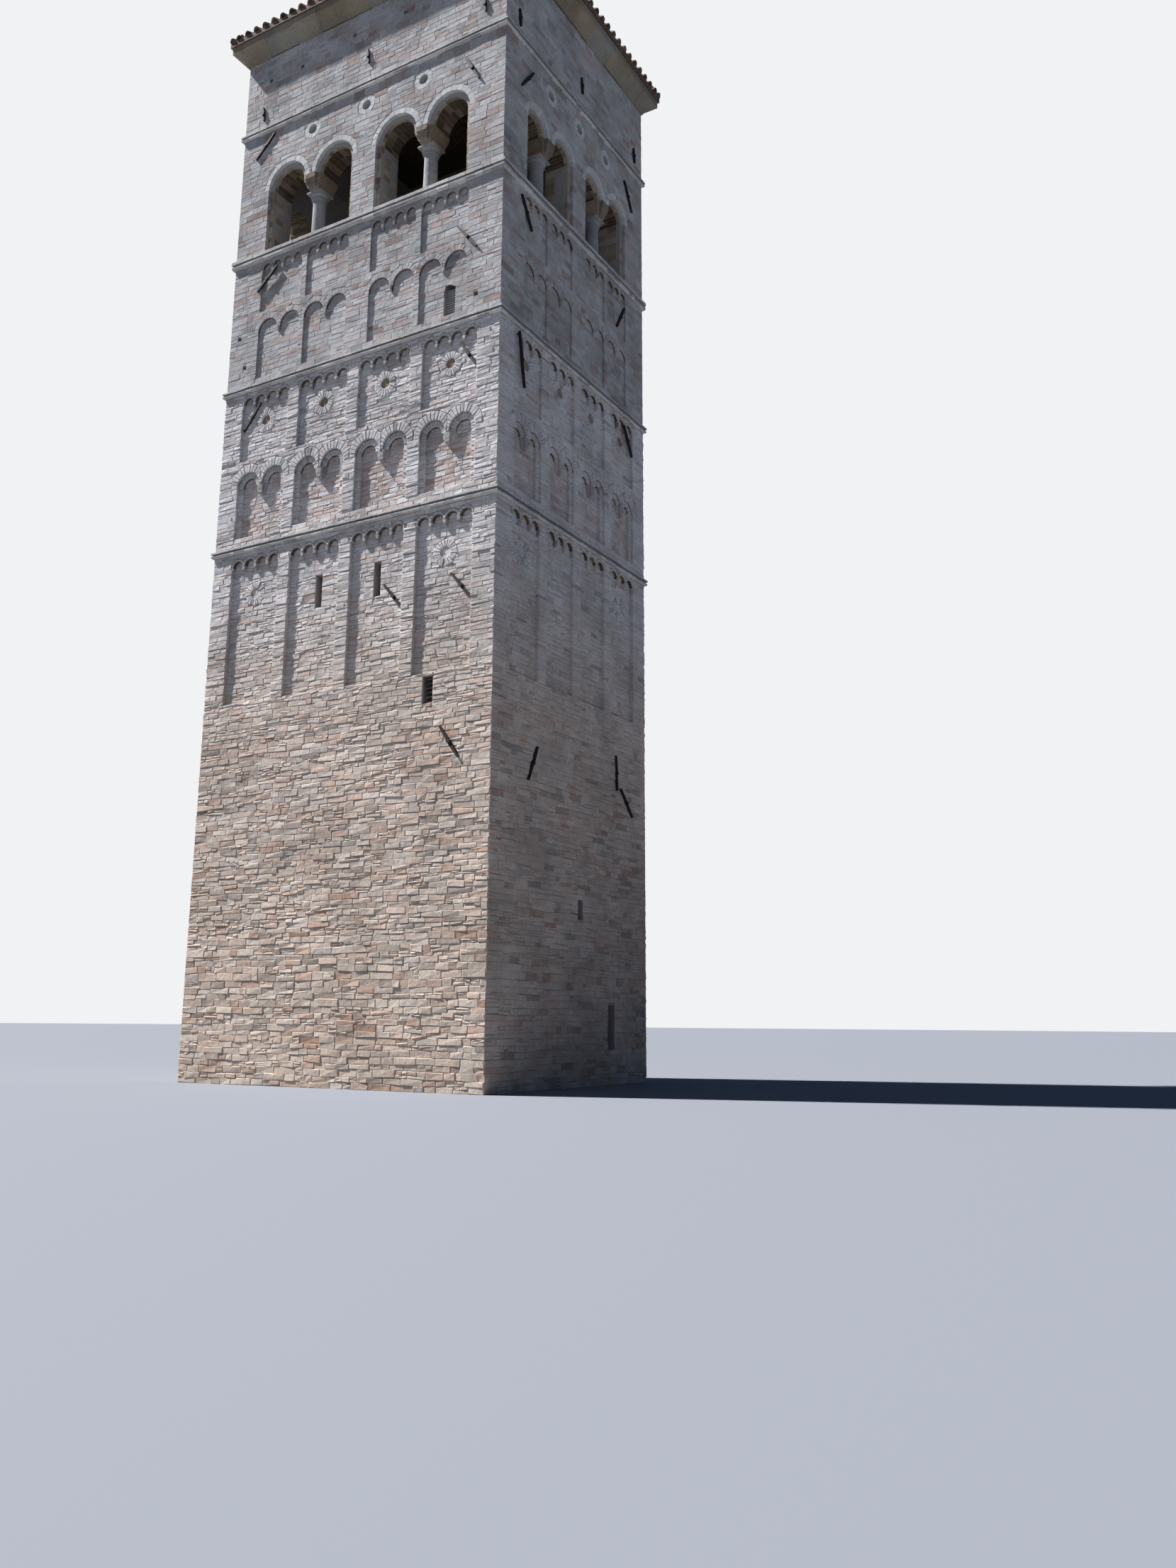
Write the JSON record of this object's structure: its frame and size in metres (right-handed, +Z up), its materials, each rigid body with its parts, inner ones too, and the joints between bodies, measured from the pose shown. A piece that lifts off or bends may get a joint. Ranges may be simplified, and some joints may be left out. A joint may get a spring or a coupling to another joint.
{
  "type": "stone bell tower",
  "caption": "Rectangular stone bell tower with blind arcades, string courses, twin-light bell openings on columns with crutch capitals, coved eaves and a low hipped tile roof.",
  "frame": {"origin": "middle of the plan at ground level", "axes": "+X along the front to the right, front faces -Y, +Z up"},
  "size_m": [10.52, 8.84, 33.0122],
  "materials": {
    "rubble_stone": "rough coursed limestone rubble",
    "ashlar_stone": "finer squared limestone",
    "pale_stone": "worn pale limestone",
    "eaves_stone": "ochre weathered limestone",
    "clay_tile": "weathered fired clay",
    "wrought_iron": "dark rusted wrought iron",
    "boards": "old grey boards"
  },
  "bodies": {
    "root": {"front_base_wall": "rubble_stone", "front_lower_arcade": "rubble_stone", "front_middle_arcade": "rubble_stone", "front_upper_arcade": "ashlar_stone", "front_belfry_arches": "ashlar_stone", "front_attic_wall": "ashlar_stone", "front_roof_slope": "clay_tile", "right_base_wall": "rubble_stone", "right_lower_arcade": "rubble_stone", "right_middle_arcade": "rubble_stone", "right_upper_arcade": "ashlar_stone", "right_belfry_arches": "ashlar_stone", "right_attic_wall": "ashlar_stone", "right_roof_slope": "clay_tile", "back_base_wall": "rubble_stone", "back_lower_arcade": "rubble_stone", "back_middle_arcade": "rubble_stone", "back_upper_arcade": "ashlar_stone", "back_belfry_arches": "ashlar_stone", "back_attic_wall": "ashlar_stone", "back_roof_slope": "clay_tile", "left_base_wall": "rubble_stone", "left_lower_arcade": "rubble_stone", "left_middle_arcade": "rubble_stone", "left_upper_arcade": "ashlar_stone", "left_belfry_arches": "ashlar_stone", "left_attic_wall": "ashlar_stone", "left_roof_slope": "clay_tile", "lower_string_course": "pale_stone", "middle_string_course": "pale_stone", "upper_string_course": "pale_stone", "belfry_sill_course": "pale_stone", "column_bases": "pale_stone", "column_shafts": "pale_stone", "column_capitals": "pale_stone", "column_crutches": "pale_stone", "round_window_rings": "pale_stone", "belfry_corner_piers": "ashlar_stone", "belfry_middle_piers": "ashlar_stone", "belfry_floor": "boards", "eaves_cornice": "eaves_stone", "ridge_and_hip_tiles": "clay_tile", "window_tiles": "clay_tile", "tie_anchors": "wrought_iron"}
  },
  "joints": []
}
